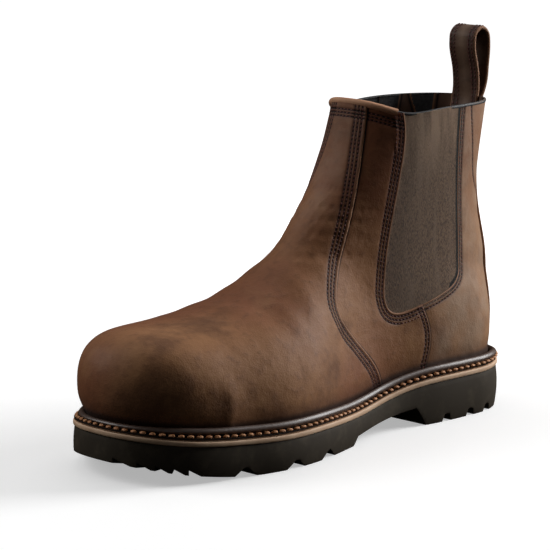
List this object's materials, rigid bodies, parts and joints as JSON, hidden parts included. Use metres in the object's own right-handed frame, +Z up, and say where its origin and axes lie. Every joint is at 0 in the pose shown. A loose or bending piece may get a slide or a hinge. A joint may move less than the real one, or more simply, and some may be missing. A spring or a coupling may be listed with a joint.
{
  "type": "side gore work boot",
  "caption": "Ankle-high pull-on work boot with elastic side panels, a stitched storm welt, a lugged sole and a pull loop at the back.",
  "frame": {"origin": "middle of the whole boot seen from above, on the floor that it stands on", "axes": "+Y towards the heel and -Y towards the toe, +X the outer side of a left foot, +Z up"},
  "size_m": [0.1166, 0.3118, 0.2311],
  "materials": {
    "leather": "oiled brown leather, mottled, soft sheen",
    "leather_edge": "cut and rolled leather edges, lighter brown",
    "lining": "black textile lining",
    "elastic": "ribbed woven elastic, grey brown",
    "thread": "dark burgundy sewing thread",
    "welt_thread": "thick light tan lock stitch",
    "welt": "dark brown storm welt, semi-gloss",
    "midsole": "tan layer edge, satin",
    "rubber": "near-black olive rubber, satin",
    "insole": "black fabric footbed"
  },
  "bodies": {
    "root": {"outsole": "rubber", "midsole": "midsole", "welt": "welt", "insole": "insole", "upper": "leather", "gore_outer": "elastic", "gore_inner": "elastic", "back_strip": "leather", "pull_loop": "leather"}
  },
  "joints": []
}
